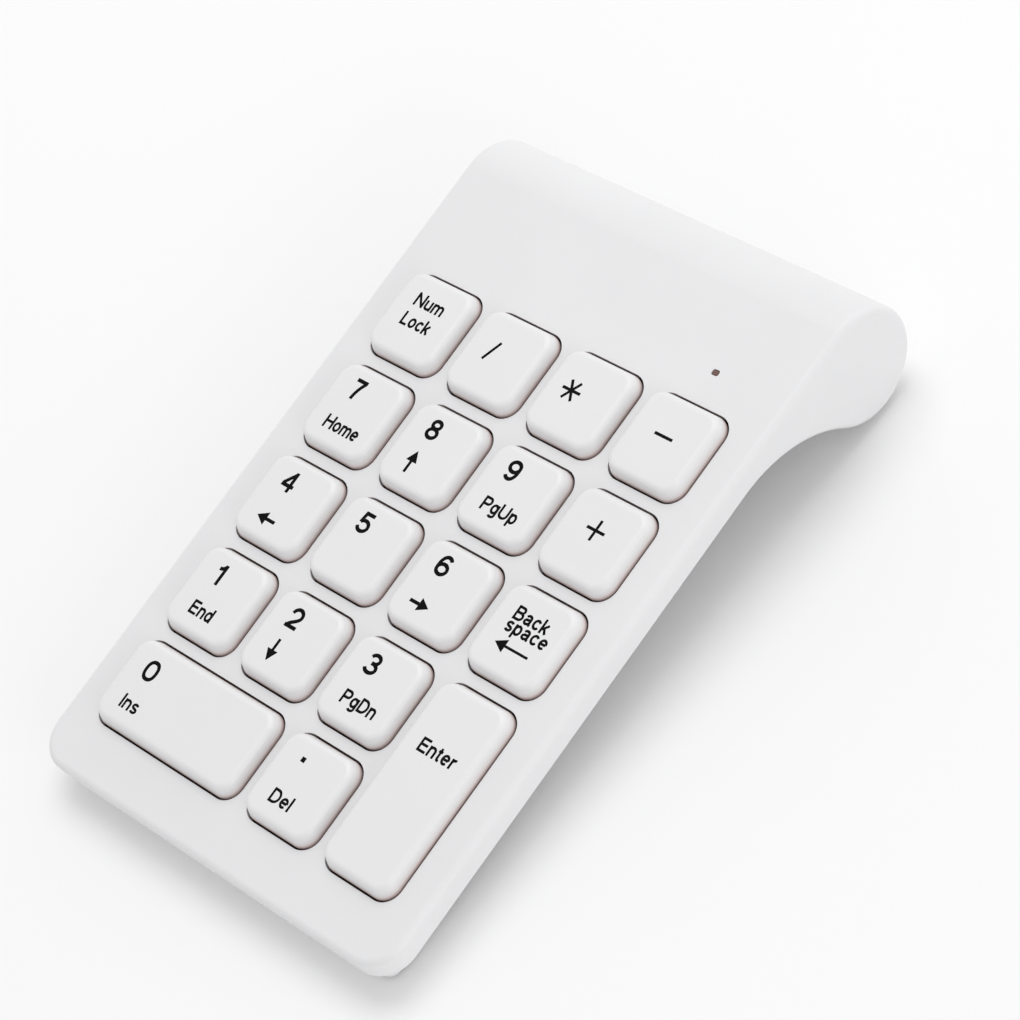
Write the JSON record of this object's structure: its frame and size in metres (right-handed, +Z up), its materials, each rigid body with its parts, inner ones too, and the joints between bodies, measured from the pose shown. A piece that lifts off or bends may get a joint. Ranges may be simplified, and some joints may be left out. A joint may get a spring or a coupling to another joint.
{
  "type": "numeric keypad",
  "caption": "Slim wireless numeric keypad with chiclet keys in close openings, an indicator slot, and a rear edge rolled into a tube that holds the battery and tilts the deck.",
  "frame": {"origin": "centre of the footprint box, on the desk surface under the feet", "axes": "+Z up, +Y from the front edge to the rolled rear edge, +X to the right of the person typing"},
  "size_m": [0.0864, 0.1334, 0.0219],
  "materials": {
    "case_white": "fine satin moulded ABS",
    "key_white": "fine satin moulded ABS with printed legends",
    "guide_white": "natural moulded ABS",
    "silicone": "translucent silicone",
    "film": "clear polyester film",
    "steel": "zinc plated sheet",
    "wire_steel": "drawn wire",
    "board": "solder mask over glass epoxy",
    "chip_black": "moulded epoxy",
    "crystal_can": "tinned can",
    "led_clear": "clear red lens",
    "light_pipe": "smoky clear acrylic",
    "strip_rubber": "solid rubber",
    "switch_black": "moulded nylon",
    "battery_can": "printed sleeve over a can, weighed as aluminium",
    "contact_metal": "nickel plated spring steel",
    "lead_red": "insulated wire",
    "lead_black": "insulated wire",
    "receiver_plastic": "moulded ABS",
    "receiver_metal": "nickel plated shell",
    "screw_metal": "zinc plated screw",
    "foot_rubber": "grey rubber pad"
  },
  "bodies": {
    "case": {"backing_plate": "steel", "battery": "battery_can", "battery_plate_contact": "contact_metal", "battery_spring_contact": "contact_metal", "board_screws": "screw_metal", "bottom_case": "case_white", "case_screws": "screw_metal", "contact_pressure_strip": "strip_rubber", "controller_chip": "chip_black", "crystal": "crystal_can", "foot_front_left": "foot_rubber", "foot_front_right": "foot_rubber", "foot_rear_left": "foot_rubber", "foot_rear_right": "foot_rubber", "indicator_led": "led_clear", "key_guide_plate": "guide_white", "lead_negative": "lead_black", "lead_positive": "lead_red", "led_light_pipe": "light_pipe", "main_board": "board", "membrane_bottom": "film", "membrane_spacer": "film", "membrane_top": "film", "power_switch_body": "switch_black", "rubber_dome_sheet": "silicone", "top_case": "case_white", "usb_receiver_cap": "receiver_plastic", "usb_receiver_plug": "receiver_metal"},
    "key_0": {"key_0": "key_white"},
    "key_1": {"key_1": "key_white"},
    "key_2": {"key_2": "key_white"},
    "key_3": {"key_3": "key_white"},
    "key_4": {"key_4": "key_white"},
    "key_5": {"key_5": "key_white"},
    "key_6": {"key_6": "key_white"},
    "key_7": {"key_7": "key_white"},
    "key_8": {"key_8": "key_white"},
    "key_9": {"key_9": "key_white"},
    "key_back_space": {"key_back_space": "key_white"},
    "key_decimal": {"key_decimal": "key_white"},
    "key_divide": {"key_divide": "key_white"},
    "key_enter": {"key_enter": "key_white"},
    "key_minus": {"key_minus": "key_white"},
    "key_multiply": {"key_multiply": "key_white"},
    "key_num_lock": {"key_num_lock": "key_white"},
    "key_plus": {"key_plus": "key_white"},
    "stabilizer_wire_zero": {"stabilizer_wire_zero": "wire_steel"},
    "stabilizer_wire_enter": {"stabilizer_wire_enter": "wire_steel"},
    "battery_door": {"battery_door": "case_white"},
    "power_switch_knob": {"power_switch_knob": "switch_black"}
  },
  "joints": [
    {"name": "key_0_press", "type": "slide", "parent": "case", "child": "key_0", "axis": [0, 0.1089, -0.9941], "range_m": [0, 0.0018], "stiffness_N_per_m": 250, "springref_m": -0.001, "deforming": ["rubber_dome_sheet"]},
    {"name": "key_1_press", "type": "slide", "parent": "case", "child": "key_1", "axis": [0, 0.1089, -0.9941], "range_m": [0, 0.0018], "stiffness_N_per_m": 250, "springref_m": -0.001, "deforming": ["rubber_dome_sheet"]},
    {"name": "key_2_press", "type": "slide", "parent": "case", "child": "key_2", "axis": [0, 0.1089, -0.9941], "range_m": [0, 0.0018], "stiffness_N_per_m": 250, "springref_m": -0.001, "deforming": ["rubber_dome_sheet"]},
    {"name": "key_3_press", "type": "slide", "parent": "case", "child": "key_3", "axis": [0, 0.1089, -0.9941], "range_m": [0, 0.0018], "stiffness_N_per_m": 250, "springref_m": -0.001, "deforming": ["rubber_dome_sheet"]},
    {"name": "key_4_press", "type": "slide", "parent": "case", "child": "key_4", "axis": [0, 0.1089, -0.9941], "range_m": [0, 0.0018], "stiffness_N_per_m": 250, "springref_m": -0.001, "deforming": ["rubber_dome_sheet"]},
    {"name": "key_5_press", "type": "slide", "parent": "case", "child": "key_5", "axis": [0, 0.1089, -0.9941], "range_m": [0, 0.0018], "stiffness_N_per_m": 250, "springref_m": -0.001, "deforming": ["rubber_dome_sheet"]},
    {"name": "key_6_press", "type": "slide", "parent": "case", "child": "key_6", "axis": [0, 0.1089, -0.9941], "range_m": [0, 0.0018], "stiffness_N_per_m": 250, "springref_m": -0.001, "deforming": ["rubber_dome_sheet"]},
    {"name": "key_7_press", "type": "slide", "parent": "case", "child": "key_7", "axis": [0, 0.1089, -0.9941], "range_m": [0, 0.0018], "stiffness_N_per_m": 250, "springref_m": -0.001, "deforming": ["rubber_dome_sheet"]},
    {"name": "key_8_press", "type": "slide", "parent": "case", "child": "key_8", "axis": [0, 0.1089, -0.9941], "range_m": [0, 0.0018], "stiffness_N_per_m": 250, "springref_m": -0.001, "deforming": ["rubber_dome_sheet"]},
    {"name": "key_9_press", "type": "slide", "parent": "case", "child": "key_9", "axis": [0, 0.1089, -0.9941], "range_m": [0, 0.0018], "stiffness_N_per_m": 250, "springref_m": -0.001, "deforming": ["rubber_dome_sheet"]},
    {"name": "key_back_space_press", "type": "slide", "parent": "case", "child": "key_back_space", "axis": [0, 0.1089, -0.9941], "range_m": [0, 0.0018], "stiffness_N_per_m": 250, "springref_m": -0.001, "deforming": ["rubber_dome_sheet"]},
    {"name": "key_decimal_press", "type": "slide", "parent": "case", "child": "key_decimal", "axis": [0, 0.1089, -0.9941], "range_m": [0, 0.0018], "stiffness_N_per_m": 250, "springref_m": -0.001, "deforming": ["rubber_dome_sheet"]},
    {"name": "key_divide_press", "type": "slide", "parent": "case", "child": "key_divide", "axis": [0, 0.1089, -0.9941], "range_m": [0, 0.0018], "stiffness_N_per_m": 250, "springref_m": -0.001, "deforming": ["rubber_dome_sheet"]},
    {"name": "key_enter_press", "type": "slide", "parent": "case", "child": "key_enter", "axis": [0, 0.1089, -0.9941], "range_m": [0, 0.0018], "stiffness_N_per_m": 250, "springref_m": -0.001, "deforming": ["rubber_dome_sheet"]},
    {"name": "key_minus_press", "type": "slide", "parent": "case", "child": "key_minus", "axis": [0, 0.1089, -0.9941], "range_m": [0, 0.0018], "stiffness_N_per_m": 250, "springref_m": -0.001, "deforming": ["rubber_dome_sheet"]},
    {"name": "key_multiply_press", "type": "slide", "parent": "case", "child": "key_multiply", "axis": [0, 0.1089, -0.9941], "range_m": [0, 0.0018], "stiffness_N_per_m": 250, "springref_m": -0.001, "deforming": ["rubber_dome_sheet"]},
    {"name": "key_num_lock_press", "type": "slide", "parent": "case", "child": "key_num_lock", "axis": [0, 0.1089, -0.9941], "range_m": [0, 0.0018], "stiffness_N_per_m": 250, "springref_m": -0.001, "deforming": ["rubber_dome_sheet"]},
    {"name": "key_plus_press", "type": "slide", "parent": "case", "child": "key_plus", "axis": [0, 0.1089, -0.9941], "range_m": [0, 0.0018], "stiffness_N_per_m": 250, "springref_m": -0.001, "deforming": ["rubber_dome_sheet"]},
    {"name": "stabilizer_wire_zero_swing", "type": "hinge", "parent": "case", "child": "stabilizer_wire_zero", "pos_m": [-0.019, -0.04309, 0.00909], "axis": [1, 0, 0], "range_deg": [0, 14.8]},
    {"name": "stabilizer_wire_enter_swing", "type": "hinge", "parent": "case", "child": "stabilizer_wire_enter", "pos_m": [0.023, -0.03911, 0.00953], "axis": [0, 0.9941, 0.1089], "range_deg": [0, 14.8]},
    {"name": "battery_door_lift_off", "type": "slide", "parent": "case", "child": "battery_door", "axis": [0, 0.1089, -0.9941], "range_m": [0, 0.025]},
    {"name": "power_switch_slide", "type": "slide", "parent": "case", "child": "power_switch_knob", "axis": [1, 0, 0], "range_m": [0, 0.003]}
  ],
  "couplings": [
    {"joint": "stabilizer_wire_zero_swing", "follows": "key_0_press", "rad_per_m": 143.31},
    {"joint": "stabilizer_wire_enter_swing", "follows": "key_enter_press", "rad_per_m": 143.31}
  ]
}
